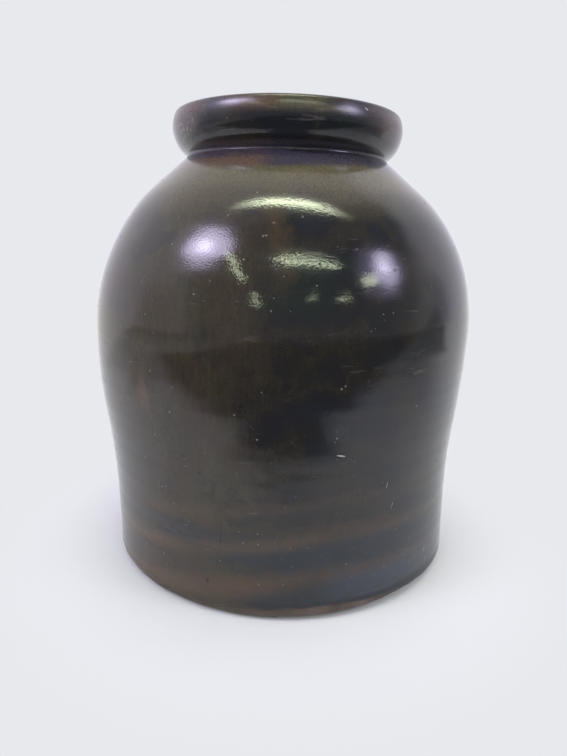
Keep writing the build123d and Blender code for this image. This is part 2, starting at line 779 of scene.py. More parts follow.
class Recipe(Tree):
    """A material being mixed."""

    def __init__(self, name: str) -> None:
        """Starts a material with one shader.

        Args:
            name: Name of the material.
        """
        self.material = bpy.data.materials.new(name)
        self.material.use_nodes = True
        super().__init__(self.material.node_tree)
        self.shader = self.tree.nodes["Principled BSDF"]
        self.place = self.add("TexCoord").outputs["Object"]

    def finish(self, **values: object) -> bpy.types.Material:
        """Sets the shader.

        Args:
            values: What its sockets get, by their names with underscores for spaces.

        Returns:
            The material.
        """
        for key, value in values.items():
            self.feed(self.shader.inputs[key.replace("_", " ")], value)
        return self.material

    def cover(self, surface: Socket) -> bpy.types.Material:
        """Puts another shader on the surface in place of the first one."""
        self.feed(self.tree.nodes["Material Output"].inputs["Surface"], surface)
        return self.material

    def axis(self, letter: str) -> Socket:
        """One coordinate of the place on the object.

        Args:
            letter: X, Y or Z.

        Returns:
            The socket with the coordinate, in metres.
        """
        node = self.add("SeparateXYZ")
        self.feed(node.inputs[0], self.place)
        return node.outputs[letter]

    def texture(self, kind: str, answer: str, shift: Place, stretch: Place, **values: float) -> Socket:
        """A texture on the place.

        Args:
            kind: Blender's name for it.
            answer: Name of its output.
            shift: Moves it, so that two of a kind differ.
            stretch: Factor on each coordinate.
            values: Numbers for its sockets.

        Returns:
            The texture's output.
        """
        turn, node = self.add("Mapping"), self.add("Tex" + kind)
        turn.inputs["Location"].default_value, turn.inputs["Scale"].default_value = shift, stretch
        self.feed(turn.inputs["Vector"], self.place)
        self.feed(node.inputs["Vector"], turn.outputs[0])
        for key, number in values.items():
            node.inputs[key].default_value = number
        return node.outputs[answer]

    def noise(
        self,
        scale: float,
        grain: Grain = Grain.EVEN,
        detail: float = 3.0,
        rough: float = 0.55,
        seed: float = 0.0,
    ) -> Socket:
        """Cloudy noise on the place.

        Args:
            scale: Clouds to a metre.
            grain: How the clouds are stretched.
            detail: Octaves.
            rough: Strength of the finer octaves.
            seed: Moves the clouds so that two noises differ.

        Returns:
            The noise, from nothing to one.
        """
        shift = (seed, seed * 1.7, seed * 0.6)
        return self.texture("Noise", "Fac", shift, grain.value, Scale=scale, Detail=detail, Roughness=rough)

    def cells(self, scale: float, seed: float) -> Socket:
        """Distance to the nearest of many scattered points, where one is the points' spacing."""
        return self.texture("Voronoi", "Distance", (seed,) * 3, Grain.EVEN.value, Scale=scale)

    def ramp(self, value: object, *stops: Tuple[float, Colour]) -> Socket:
        """A run of colours.

        Args:
            value: Number that picks the colour.
            stops: Numbers and the colours at them, from low to high.

        Returns:
            The socket with the colour.
        """
        node = self.add("ValToRGB")
        while len(node.color_ramp.elements) < len(stops):
            node.color_ramp.elements.new(1.0)
        for element, (spot, colour) in zip(node.color_ramp.elements, stops):
            element.position, element.color = spot, (*colour, 1.0)
        self.feed(node.inputs[0], value)
        return node.outputs[0]

    def relief(self, *layers: Tuple[Socket, float]) -> Socket:
        """Fine relief in the surface's direction.

        Args:
            layers: Height from nothing to one, and the metres of one, for each layer from the lowest.

        Returns:
            The socket with the direction.
        """
        nodes = []
        for height, depth in layers:
            node = self.add("Bump")
            node.inputs["Strength"].default_value, node.inputs["Distance"].default_value = 1.0, depth
            self.feed(node.inputs["Height"], height)
            if nodes:
                self.feed(node.inputs["Normal"], nodes[-1].outputs[0])
            nodes.append(node)
        return nodes[-1].outputs[0]


@dataclass(frozen=True)
class SlipGlaze:
    """Iron-rich slip glaze on the outside: near black, olive and rust where it is thin, wet-looking, with
    painted highlights on the rim and a painted shadow along its lower edge.
    """

    black: Colour = (0.0080, 0.0092, 0.0122)
    green: Colour = (0.0090, 0.0150, 0.0120)
    blue: Colour = (0.0100, 0.0130, 0.0225)
    umber: Colour = (0.020, 0.017, 0.012)
    brown: Colour = (0.042, 0.031, 0.016)
    amber: Colour = (0.064, 0.042, 0.020)
    olive: Colour = (0.043, 0.037, 0.018)
    moss: Colour = (0.026, 0.027, 0.016)
    plum: Colour = (0.043, 0.030, 0.021)
    # Olive and violet are thin-glaze colours on the collar, and painted highlights on the rim's upper edge.
    olive_glaze_and_highlight: Colour = (0.102, 0.086, 0.050)
    thin_plum: Colour = (0.108, 0.068, 0.054)
    violet_glaze_and_highlight: Colour = (0.046, 0.042, 0.064)
    rust: Colour = (0.092, 0.056, 0.029)
    rim_rust: Colour = (0.090, 0.056, 0.048)
    run_rust: Colour = (0.086, 0.050, 0.027)
    slate: Colour = (0.013, 0.019, 0.026)
    lilac: Colour = (0.046, 0.054, 0.079)
    speck: Colour = (0.18, 0.17, 0.16)
    gloss: float = 0.065
    haze: float = 0.05
    rim_haze: float = 0.14
    index: float = 1.53
    swell: float = 0.00002
    lines: float = 0.000008
    peel: float = 0.000036
    pits: float = 0.0001
    rust_tilt: float = 0.18
    rust_turn: float = 0.03
    rust_bands: Tuple[Tuple[float, float, float], ...] = (
        (69.5, 7.5, 0.28),
        (50.0, 8.0, 0.60),
        (27.5, 10.0, 0.60),
    )
    warm_edge: Span = (-0.065, -0.03)
    warm_end: Span = (0.248, 0.244)
    slope_zone: Span = (0.205, 0.236)
    band_zone: Span = (0.2335, 0.2375)
    groove_zone: Span = (0.240, 0.244)
    collar_end: Span = (0.250, 0.246)
    rim_upper: Span = (0.2595, 0.2665)
    rim_side: Span = (0.252, 0.258)
    rim_worn: Span = (0.254, 0.262)
    run_across: float = -0.0702
    crackle_height: float = 0.2585

    def dapple(self, pot: Recipe) -> Socket:
        """Warm glaze of the left and the shoulder: olive, brown and plum clouds cut by fine runs.

        Args:
            pot: The material being mixed.

        Returns:
            The socket with the colour.
        """
        tones = pot.ramp(
            pot.noise(22.0, detail=5.0, rough=0.65, seed=2.0),
            (0.32, self.moss), (0.40, self.umber), (0.46, self.olive), (0.52, self.brown),
            (0.58, self.plum), (0.64, self.olive), (0.72, self.umber),
        )
        runs = pot.step(pot.noise(170.0, Grain.RUNS, 4.0, 0.65, 5.0), 0.40, 0.64, 0.0, 0.3)
        return pot.blend(runs, tones, self.umber)

    def depths(self, pot: Recipe) -> Socket:
        """Dark glaze of the right: black with green and blue in it, and a little brown.

        Args:
            pot: The material being mixed.

        Returns:
            The socket with the colour.
        """
        return pot.ramp(
            pot.noise(20.0, detail=4.0, rough=0.6, seed=33.0),
            (0.34, self.green), (0.43, self.black), (0.50, self.umber), (0.57, self.black), (0.66, self.blue),
        )

    def collar(self, pot: Recipe, base: Socket, cloud: Socket) -> Socket:
        """Thin glaze under the rim: olive on the slope, then plum and violet up to the groove.

        Args:
            pot: The material being mixed.
            base: Colour of the glaze elsewhere.
            cloud: Clouds about nothing that the edges and tones follow.

        Returns:
            The socket with the colour.
        """
        height = pot.axis("Z")
        fray = pot.less(pot.noise(50.0, Grain.RINGS, 4.0, 0.65, 26.0), 0.5)
        ragged = pot.scaled(fray, 0.022, height)
        aside = pot.scaled(pot.plus(fray, cloud), 0.03, pot.axis("X"))
        plum_to_violet = pot.blend(pot.step(aside, -0.018, -0.004), self.thin_plum, self.violet_glaze_and_highlight)
        violet_to_black = pot.blend(pot.step(aside, -0.014, 0.010, 0.0, 0.75), self.violet_glaze_and_highlight, self.black)
        below_rim = pot.step(height, *self.collar_end)
        for zone, most, tone in (
            (self.slope_zone, 0.95, self.olive_glaze_and_highlight),
            (self.band_zone, 0.9, plum_to_violet),
            (self.groove_zone, 0.8, violet_to_black),
        ):
            base = pot.blend(pot.times(pot.step(ragged, *zone, 0.0, most), below_rim), base, tone)
        return base

    def rim_tones_and_highlights(self, pot: Recipe, base: Socket, cloud: Socket) -> Socket:
        """Colours on the rim: rust along its upper edge and plum round its ends, with painted highlights in
        violet and olive along the upper edge where the lamps shine.

        Args:
            pot: The material being mixed.
            base: Colour of the glaze elsewhere.
            cloud: Clouds about nothing that the patches follow.

        Returns:
            The socket with the colour.
        """
        height, aside = pot.axis("Z"), pot.scaled(cloud, 0.012, pot.axis("X"))
        # Violet and olive in this ramp are painted highlights, set where the lamps' glints fall on the rim's
        # upper edge; rust and plum are the glaze's own colour.
        tones = pot.ramp(
            pot.scaled(aside, 7.0, 0.5),
            (0.15, self.rim_rust), (0.22, self.violet_glaze_and_highlight), (0.32, self.rim_rust), (0.43, self.rust),
            (0.50, self.olive_glaze_and_highlight), (0.62, self.olive_glaze_and_highlight), (0.68, self.plum), (0.76, self.violet_glaze_and_highlight),
            (0.86, self.rim_rust),
        )
        upper = pot.step(height, *self.rim_upper, 0.0, 0.95)
        ends = pot.times(pot.step(pot.apart(aside), 0.040, 0.056), pot.step(height, *self.rim_side, 0.0, 0.8))
        patchy = pot.step(pot.noise(75.0, Grain.RINGS, 4.0, 0.65, 71.0), 0.36, 0.56, 0.25, 1.0)
        return pot.blend(pot.times(pot.sum("MAXIMUM", upper, ends), patchy), base, tones)

    def ground(self, pot: Recipe) -> Socket:
        """The glaze's colour before its bands: warm on the left of the front, blue-black on the right.

        Args:
            pot: The material being mixed.

        Returns:
            The socket with the colour.
        """
        along, height = pot.axis("Y"), pot.axis("Z")
        cloud = pot.less(pot.noise(11.0, detail=5.0, rough=0.6, seed=2.5), 0.5)
        drift = pot.scaled(cloud, 0.16, pot.axis("X"))
        below_rim = pot.step(height, *self.warm_end)
        warm = pot.step(pot.scaled(along, 0.3, drift), *self.warm_edge, 0.9, 0.1)
        base = pot.blend(pot.times(warm, below_rim), self.depths(pot), self.dapple(pot))
        base = self.rim_tones_and_highlights(pot, base, cloud)
        streak = pot.times(
            pot.step(pot.apart(drift), 0.0, 0.014, 0.5, 0.0),
            pot.step(along, 0.0, -0.04),
            pot.step(height, 0.168, 0.188),
            below_rim,
        )
        return self.collar(pot, pot.blend(streak, base, self.amber), cloud)

    def bands(self, pot: Recipe) -> Socket:
        """Wavering bands of rust round the lower wall, which climb towards the right.

        Args:
            pot: The material being mixed.

        Returns:
            The socket with the share of rust.
        """
        across = pot.axis("X")
        waver = pot.times(pot.less(pot.noise(16.0, Grain.RINGS, 4.0, 0.55, 4.0), 0.5), 0.02)
        aside = pot.less(pot.sum("MINIMUM", across, self.rust_turn), self.rust_turn)
        ragged = pot.scaled(aside, -self.rust_tilt, pot.plus(pot.axis("Z"), waver))
        total: object = 0.0
        for middle, reach, most in self.rust_bands:
            total = pot.plus(total, pot.step(pot.apart(ragged, middle * MM), 0.0, reach * MM, most, 0.0))
        patchy = pot.step(pot.noise(34.0, Grain.RINGS, 5.0, 0.65, 7.0), 0.34, 0.52, 0.15, 1.0)
        return pot.times(total, patchy, pot.step(across, -0.02, 0.03, 1.15, 0.6))

    def foot_edge(self, pot: Recipe, base: Socket) -> Socket:
        """A painted shadow of the glaze's bead, a dark band along its lower edge on the right of the front,
        with a lilac bloom over it.

        Args:
            pot: The material being mixed.
            base: Colour of the glaze elsewhere.

        Returns:
            The socket with the colour.
        """
        height, across = pot.axis("Z"), pot.axis("X")
        cloud = pot.step(pot.noise(60.0, Grain.RINGS, 4.0, 0.6, 51.0), 0.42, 0.58)
        bloom = pot.times(pot.step(height, 0.034, 0.022, 0.0, 0.55), pot.step(across, 0.018, 0.04), cloud)
        # The black band along the glaze's lower edge is a painted shadow of its bead, not the glaze's colour.
        thick = pot.times(pot.step(height, 0.0125, 0.0095, 0.0, 0.8), pot.step(across, -0.02, 0.0))
        return pot.blend(thick, pot.blend(bloom, base, self.lilac), self.black)

    def old_marks(self, pot: Recipe, base: Socket) -> Socket:
        """One rusty run on the left of the belly, and pale crackle on the left end of the rim.

        Args:
            pot: The material being mixed.
            base: Colour of the glaze elsewhere.

        Returns:
            The socket with the colour.
        """
        across, height = pot.axis("X"), pot.axis("Z")
        front = pot.step(pot.axis("Y"), 0.0, -0.02)
        fray = pot.less(pot.noise(90.0, detail=3.0, rough=0.6, seed=83.0), 0.5)
        run = pot.times(
            pot.step(pot.apart(pot.scaled(fray, 0.012, across), self.run_across), 0.0002, 0.0042, 0.6, 0.0),
            pot.step(height, 0.106, 0.120),
            pot.step(height, 0.140, 0.124),
            front,
        )
        crackle = pot.times(
            pot.step(pot.noise(430.0, detail=4.0, rough=0.75, seed=81.0), 0.53, 0.62, 0.0, 0.8),
            pot.step(pot.scaled(fray, 0.03, across), -0.042, -0.052),
            pot.step(pot.apart(height, self.crackle_height), 0.010, 0.005),
            front,
        )
        return pot.blend(crackle, pot.blend(run, base, self.run_rust), self.speck)

    def tone(self, pot: Recipe) -> Socket:
        """The glaze's whole colour: ground, bands, threads, scuffs, marks and specks.

        Args:
            pot: The material being mixed.

        Returns:
            The socket with the colour.
        """
        height = pot.axis("Z")
        cloudy = pot.step(pot.noise(26.0, Grain.RINGS, 4.0, 0.6, 41.0), 0.46, 0.56)
        below = pot.times(cloudy, pot.step(height, 0.09, 0.05, 0.0, 0.85))
        base = pot.blend(self.bands(pot), pot.blend(below, self.ground(pot), self.slate), self.rust)
        base = self.foot_edge(pot, base)
        long_threads = pot.noise(800.0, Grain.RUNS, 3.0, 0.65, 1.0)
        grain = pot.noise(1300.0, detail=2.0, seed=2.0)
        weave = pot.plus(long_threads, grain)
        threads = pot.times(pot.step(weave, 0.85, 1.2), pot.step(height, 0.04, 0.10, 0.12, 0.4))
        base = pot.blend(threads, base, self.black)
        scuffs = pot.step(pot.noise(210.0, Grain.RINGS, 5.0, 0.75, 61.0), 0.60, 0.72, 0.0, 0.3)
        scuffed = pot.times(scuffs, pot.step(pot.noise(18.0, detail=2.0, seed=62.0), 0.45, 0.6))
        base = self.old_marks(pot, pot.blend(scuffed, base, self.speck))
        dots = pot.step(pot.cells(105.0, 3.0), 0.03, 0.06, 0.5, 0.0)
        chosen = pot.step(pot.noise(45.0, seed=6.0), 0.5, 0.62)
        return pot.blend(pot.times(dots, chosen), base, self.speck)

    def mix(self, name: str) -> bpy.types.Material:
        """Mixes the glaze.

        Args:
            name: Name of the material.

        Returns:
            The material.
        """
        pot = Recipe(name)
        rough = pot.plus(self.gloss, pot.times(pot.noise(30.0, detail=5.0, seed=8.0), self.haze))
        return pot.finish(
            Base_Color=self.tone(pot),
            Roughness=pot.plus(rough, pot.step(pot.axis("Z"), *self.rim_worn, 0.0, self.rim_haze)),
            IOR=self.index,
            Normal=pot.relief(
                (pot.noise(70.0, detail=2.0, seed=12.0), self.swell),
                (pot.noise(230.0, Grain.RINGS, 2.0, 0.5, 14.0), self.lines),
                (pot.noise(1050.0, detail=1.0, rough=0.5, seed=13.0), self.peel),
                (pot.step(pot.cells(140.0, 17.0), 0.03, 0.1), self.pits),
            ),
        )


@dataclass(frozen=True)
class PaleMark:
    """Glaze that is thin over a blister, or broken down to paler clay in a nick."""

    pale: Colour = (0.17, 0.165, 0.155)
    dark: Colour = (0.05, 0.048, 0.043)
    rough: float = 0.35
    index: float = 1.5
    grit: float = 0.00004

    def mix(self, name: str) -> bpy.types.Material:
        """Mixes the finish.

        Args:
            name: Name of the material.

        Returns:
            The material.
        """
        pot = Recipe(name)
        return pot.finish(
            Base_Color=pot.blend(pot.step(pot.noise(260.0, seed=3.0), 0.35, 0.65), self.dark, self.pale),
            Roughness=self.rough,
            IOR=self.index,
            Normal=pot.relief((pot.noise(1500.0, detail=3.0), self.grit)),
        )


@dataclass(frozen=True)
class LiningGlaze:
    """Brown glaze inside, wet-looking, pooled darker on the floor."""

    brown: Colour = (0.045, 0.026, 0.013)
    pool: Colour = (0.010, 0.008, 0.007)
    gloss: float = 0.16
    haze: float = 0.15
    index: float = 1.55
    swell: float = 0.0002
    peel: float = 0.00004

    def mix(self, name: str) -> bpy.types.Material:
        """Mixes the lining.

        Args:
            name: Name of the material.

        Returns:
            The material.
        """
        pot = Recipe(name)
        cloud = pot.noise(30.0, Grain.RINGS, 4.0, 0.6, 3.0)
        deep = pot.times(pot.step(pot.axis("Z"), 0.01, 0.06, 0.9, 0.25), pot.step(cloud, 0.3, 0.7, 0.4, 1.3))
        return pot.finish(
            Base_Color=pot.blend(deep, self.brown, self.pool),
            Roughness=pot.plus(self.gloss, pot.times(cloud, self.haze)),
            IOR=self.index,
            Normal=pot.relief(
                (pot.noise(90.0, detail=2.0, seed=4.0), self.swell),
                (pot.noise(700.0, detail=2.0, seed=6.0), self.peel),
            ),
        )


@dataclass(frozen=True)
class FiredClay:
    """Bare stoneware at the foot: grey-brown, rosy on the right, gritty, worn paler where it stands."""

    brown: Colour = (0.070, 0.058, 0.042)
    grey: Colour = (0.17, 0.125, 0.112)
    burn: Colour = (0.030, 0.022, 0.019)
    index: float = 1.5
    rings: float = 0.0003
    grit: float = 0.00025

    def mix(self, name: str) -> bpy.types.Material:
        """Mixes the clay.

        Args:
            name: Name of the material.

        Returns:
            The material.
        """
        pot = Recipe(name)
        cloud = pot.noise(40.0, detail=5.0, rough=0.6, seed=1.0)
        rosy = pot.times(pot.step(cloud, 0.35, 0.65), pot.step(pot.axis("X"), 0.0, 0.035, 0.25, 1.0))
        burnt = pot.times(
            pot.step(pot.cells(420.0, 2.0), 0.08, 0.2, 0.75, 0.0),
            pot.step(pot.noise(150.0, seed=7.0), 0.45, 0.6),
        )
        gritty = pot.blend(burnt, pot.blend(rosy, self.brown, self.grey), self.burn)
        return pot.finish(
            Base_Color=pot.blend(pot.step(pot.axis("Z"), 0.0, 0.0012, 0.3, 0.0), gritty, self.grey),
            Roughness=pot.step(cloud, 0.3, 0.7, 0.72, 0.9),
            IOR=self.index,
            Normal=pot.relief(
                (pot.noise(260.0, Grain.RINGS, 3.0, 0.6, 5.0), self.rings),
                (pot.noise(900.0, detail=4.0, rough=0.7, seed=8.0), self.grit),
            ),
        )


def settle(
    piece: bpy.types.Object, finish: bpy.types.Material, node: Optional[Node] = None
) -> bpy.types.Object:
    """Dresses a piece, puts it on the body and lets it stand for its node, where it has one.

    Args:
        piece: The piece.
        finish: Its material.
        node: The node that it stands for.

    Returns:
        The same piece.
    """
    piece.data.materials.append(finish)
    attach(piece, BODY)
    if node is not None:
        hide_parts(node.value)
    return piece


@dataclass
class Coats:
    """The clay body and its two coats of glaze. Each is a closed skin that stands for its node."""

    form: JarForm = field(default_factory=JarForm)
    hand: Hand = field(default_factory=Hand)
    lathe: Lathe = field(default_factory=Lathe)
    bite: float = 0.06
    back_coarse: float = 5.0
    lap: float = 0.35
    lap_middle: float = 1.6
    lap_reach: float = 1.3
    lap_start: float = 0.8
    lap_wave: float = 0.6
    finger_start: Span = (26.0, 56.0)
    finger_end: float = 12.0
    undercut: float = 2.6
    under_step: float = 3.0
    band_step: float = 0.6
    band_top: float = 8.0
    clay_coarse: float = 2.5
    clay_fade: float = 6.0
    clay_sink: float = 0.2
    trim_pitch: float = 2.3
    trim_depth: float = 0.1
    chatter: Ripple = Ripple(90, 0.1, 17)
    wear: float = 2.2
    wear_middle: float = 42.0
    wear_reach: float = 34.0
    wear_wave: Ripple = Ripple(46, 0.3, 23)
    tuck: float = 2.2
    worn_tuck: float = 0.3
    tuck_start: float = 96.0
    tuck_wave: Ripple = Ripple(60, 0.15, 29)

    @cached_property
    def face(self) -> np.ndarray:
        """Outer face of the outer glaze, from its lower edge to the lip."""
        return self.form.outside_of(self.form.skin_line(self.form.glaze, self.form.bare_band))

    def ragged_rise(self, path: np.ndarray) -> np.ndarray:
        """How far the ragged glaze line lifts each row and column near the foot."""
        low = self.form.bare_band
        return self.hand.line(self.lathe.turns()) * share(path[:, 1:], low + self.hand.line_fade, low)

    def rim_drop(self, path: np.ndarray) -> np.ndarray:
        """How far the rim sags, a little more on its right."""
        on_rim = share(path[:, 1:], self.form.neck_height - 20.0, self.form.neck_height + 10.0)
        return -self.hand.rim_sag * (1 + np.sin(self.lathe.turns())) * on_rim

    def outer(self, finish: bpy.types.Material) -> bpy.types.Object:
        """The slip glaze on the outside, from its ragged edge at the foot up over the rim.

        Args:
            finish: Its material.

        Returns:
            The piece.
        """
        form, hand, turn = self.form, self.hand, self.lathe.turns()
        low = (form.wall_radius, form.bare_band)
        edge = form.sweep(low, form.glaze, -math.pi / 2, 0.0, form.glaze / 3)
        back = form.outside_of(form.skin_line(-self.bite, form.bare_band, self.back_coarse))[::-1]
        front = np.vstack((edge[:-1], self.face))
        path = np.vstack((front, back))
        height, way = front[:, 1:], way_along(front)[:, None]
        bead = self.lap * hump(way, self.lap_middle, self.lap_reach) * share(way, 0.0, self.lap_start)
        on_rim = share(height, form.neck_height + 1.0, form.neck_height + 5.0)
        off_top = share(height, form.rim_top, form.rim_top - 3.0)
        lift = np.zeros((len(path), self.lathe.columns))
        lift[: len(front)] = (
            hand.rings(turn, height)
            + bead * (1 + self.lap_wave * hand.line_waves[1].at(turn))
            + hand.rim_wave.at(turn) * on_rim * off_top
        )
        rise = self.ragged_rise(path) + self.rim_drop(path)
        piece = self.lathe.body("slip_coat", path, lift, rise, hand, True)
        return settle(piece, finish, Node.SLIP)

    def lining(self, finish: bpy.types.Material) -> bpy.types.Object:
        """The lining glaze, from the lip down the throat and wall and over the floor.

        Args:
            finish: Its material.

        Returns:
            The piece.
        """
        form, hand = self.form, self.hand
        face = form.inside_of(form.skin_line(form.glaze, form.bare_band))
        back = form.inside_of(form.skin_line(-self.bite, form.bare_band, self.back_coarse))[::-1]
        path = np.vstack((face, back))
        way = way_along(face)[:, None]
        lift = np.zeros((len(path), self.lathe.columns))
        fade = share(way, *self.finger_start) * share(face[:, :1], 0.0, self.finger_end)
        lift[: len(face)] = hand.fingers(self.lathe.turns(), way) * fade
        piece = self.lathe.body("lining_coat", path, lift, self.rim_drop(path), hand)
        return settle(piece, finish, Node.LINING)

    def clay(self, finish: bpy.types.Material) -> bpy.types.Object:
        """The clay, which shows at the foot and underneath.

        Args:
            finish: Its material.

        Returns:
            The piece.
        """
        form, turn = self.form, self.lathe.turns()
        top, fade = form.bare_band + self.band_top, form.bare_band + self.clay_fade
        path = form.joined(
            form.underside(self.under_step, self.undercut),
            form.straight((form.wall_radius, self.undercut), (form.wall_radius, top), self.band_step),
            form.skin_line(0.0, top, self.clay_coarse),
        )
        radius, height = path[:, :1], path[:, 1:]
        near_foot = radius > 100.0
        wave = self.trim_depth * np.sin(FULL_TURN * (height / self.trim_pitch + turn / FULL_TURN))
        low = share(height, fade, fade - 3.0) * near_foot * share(height, 0.0, 1.0)
        lift = (wave + self.chatter.at(turn) - self.clay_sink) * low
        side = hump(np.degrees(turn), self.wear_middle, self.wear_reach)
        worn = self.wear * side + self.wear_wave.at(turn)
        part = np.minimum(height / self.undercut, share(height, fade, form.bare_band))
        rise = worn * part * near_foot + self.rim_drop(path)
        edge = form.worn_edge(self.undercut)
        drawn_in = share(radius, self.tuck_start, edge) * share(height, self.undercut, 0.0)
        tuck = (self.tuck + self.worn_tuck * side + self.tuck_wave.at(turn)) * drawn_in
        piece = self.lathe.body("clay_body", path, lift, rise, self.hand, tuck=tuck)
        return settle(piece, finish, Node.CLAY)

    def spot(self, azimuth: float, height: float) -> Tuple[Vector, Vector]:
        """A place on the outer glaze and the direction square to it.

        Args:
            azimuth: Its azimuth in degrees.
            height: Its height in millimetres.

        Returns:
            The place in metres and the outward direction.
        """
        face = self.face[: int(np.argmax(self.face[:, 1])) + 1]
        turn, level = np.array([math.radians(azimuth)]), np.array([height])
        near = [float(np.interp(height + step, face[:, 1], face[:, 0])) for step in (-0.5, 0.0, 0.5)]
        radius = near[1] + float(self.hand.swell(turn, level)[0])
        if height < self.form.neck_height:
            radius += float(self.hand.rings(turn, level)[0])
        sine, cosine = math.sin(turn[0]), math.cos(turn[0])
        place = Vector((radius * sine + float(self.hand.lean(level)[0]), -radius * cosine, height)) * MM
        return place, Vector((sine, -cosine, near[0] - near[2])).normalized()


@dataclass(frozen=True)
class Nick:
    """A nick or scratch: its place on the wall, length, width and turn from level."""

    azimuth: float
    height: float
    long: float
    wide: float
    angle: float


@dataclass
class Marks:
    """Small relief on the outer glaze: blisters, a run that ends in a bead, nicks and scratches."""

    coats: Coats
    blisters: int = 420
    blister_seed: int = 12
    blister_size: Span = (0.3, 0.65)
    blister_zone: Span = (22.0, 232.0)
    blister_crowd: float = 1.35
    blister_rise: float = 0.3
    sink: float = 0.12
    nick_rise: float = 0.05
    run: Tuple[Span, ...] = ((-15.9, 60.0), (-15.8, 54.0), (-16.4, 43.0), (-17.0, 35.0), (-18.6, 26.0))
    run_count: int = 42
    run_length: float = 1.6
    run_width: float = 1.3
    run_proud: float = 0.28
    bead: Tuple[float, float, float, float] = (-20.8, 19.0, 1.45, 0.95)
    nicks: Tuple[Nick, ...] = (
        Nick(15.9, 96.3, 6.2, 1.1, -12.0),
        Nick(30.8, 74.7, 6.0, 0.5, 84.0),
        Nick(33.3, 61.0, 6.5, 0.35, 70.0),
        Nick(50.7, 21.0, 7.0, 0.6, 62.0),
        Nick(52.3, 14.5, 4.0, 0.6, 100.0),
        Nick(36.5, 266.0, 2.6, 1.3, -20.0),
        Nick(-58.8, 252.2, 1.6, 0.6, 10.0),
        Nick(-56.0, 254.0, 1.0, 0.5, 70.0),
        Nick(-50.0, 260.5, 1.4, 0.35, 60.0),
        Nick(-46.0, 259.0, 1.2, 0.35, 75.0),
        Nick(-42.5, 257.5, 1.3, 0.35, 65.0),
        Nick(-37.0, 258.5, 1.2, 0.35, 50.0),
        Nick(-12.0, 263.6, 1.0, 0.4, 0.0),
        Nick(-9.2, 263.2, 0.9, 0.4, 30.0),
        Nick(-6.8, 263.4, 0.8, 0.35, 0.0),
        Nick(1.0, 255.0, 0.9, 0.5, 40.0),
    )

    def place_frame(self, azimuth: float, height: float, angle: float = 0.0) -> Matrix:
        """Axes on the wall: first along the mark, second across it, third outwards.

        Args:
            azimuth: Azimuth of the mark in degrees.
            height: Its height in millimetres.
            angle: Turn of its length from level, in degrees.

        Returns:
            The place and axes.
        """
        place, out = self.coats.spot(azimuth, height)
        level = Vector((0, 0, 1)).cross(out).normalized()
        axes = Matrix((level, out.cross(level), out)).transposed().to_4x4()
        return Matrix.Translation(place) @ axes @ Matrix.Rotation(math.radians(angle), 4, "Z")

    def lens(
        self, axes: Matrix, long: float, wide: float, proud: float, rows: int = 4, sides: int = 14
    ) -> Tuple[list, list]:
        """A small closed lens half sunk in the glaze.

        Args:
            axes: Its place and axes.
            long: Half of its length in millimetres.
            wide: Half of its width.
            proud: Height of its middle over the glaze.
            rows: Rings of points from its middle to its edge.
            sides: Points in each ring.

        Returns:
            Points and faces.
        """
        points = [axes @ (Vector((0, 0, proud)) * MM)]
        for row in range(1, rows + 1):
            part = row / rows
            up = (proud + self.sink) * math.sqrt(max(0.0, 1 - part * part)) - self.sink
            for side in range(sides):
                way = FULL_TURN * side / sides
                point = Vector((long * part * math.cos(way), wide * part * math.sin(way), up))
                points.append(axes @ (point * MM))
        points.append(axes @ (Vector((0, 0, -2 * self.sink)) * MM))
        faces = [(0, 1 + side, 1 + (side + 1) % sides) for side in range(sides)]
        for row in range(rows - 1):
            low, high = 1 + row * sides, 1 + (row + 1) * sides
            for k in range(sides):
                after = (k + 1) % sides
                faces.append((low + k, high + k, high + after, low + after))
        last = 1 + (rows - 1) * sides
        faces += [(last + (k + 1) % sides, last + k, len(points) - 1) for k in range(sides)]
        return points, faces

    @staticmethod
    def gathered(
        name: str, lenses: Sequence[Tuple[list, list]], finish: bpy.types.Material
    ) -> bpy.types.Object:
        """One piece from many lenses.

        Args:
            name: Name of the piece.
            lenses: Points and faces of each lens.
            finish: Its material.

        Returns:
            The piece.
        """
        points: list = []
        faces: list = []
        for some, sides in lenses:
            start = len(points)
            points += [tuple(point) for point in some]
            faces += [tuple(start + k for k in side) for side in sides]
        return settle(solid(name, np.array(points), faces), finish)

    def scatter_blisters(self, finish: bpy.types.Material) -> bpy.types.Object:
        """Blisters scattered over the wall, more of them low down.

        Args:
            finish: Their material.

        Returns:
            The piece.
        """
        dice = np.random.default_rng(self.blister_seed)
        low, high = self.blister_zone
        lenses = []
        for _ in range(self.blisters):
            height = low + (high - low) * dice.random() ** self.blister_crowd
            size = dice.uniform(*self.blister_size)
            axes = self.place_frame(dice.uniform(-180, 180), height, dice.uniform(0, 180))
            wide = size * dice.uniform(0.7, 1.0)
            lenses.append(self.lens(axes, size, wide, size * self.blister_rise, 3, 10))
        return self.gathered("blisters", lenses, finish)

    def cut_nicks(self, finish: bpy.types.Material) -> bpy.types.Object:
        """Nicks and scratches that show paler clay.

        Args:
            finish: Their material.

        Returns:
            The piece.
        """
        lenses = []
        for nick in self.nicks:
            axes = self.place_frame(nick.azimuth, nick.height, nick.angle)
            lenses.append(self.lens(axes, nick.long / 2, nick.wide / 2, self.nick_rise))
        return self.gathered("nicks", lenses, finish)

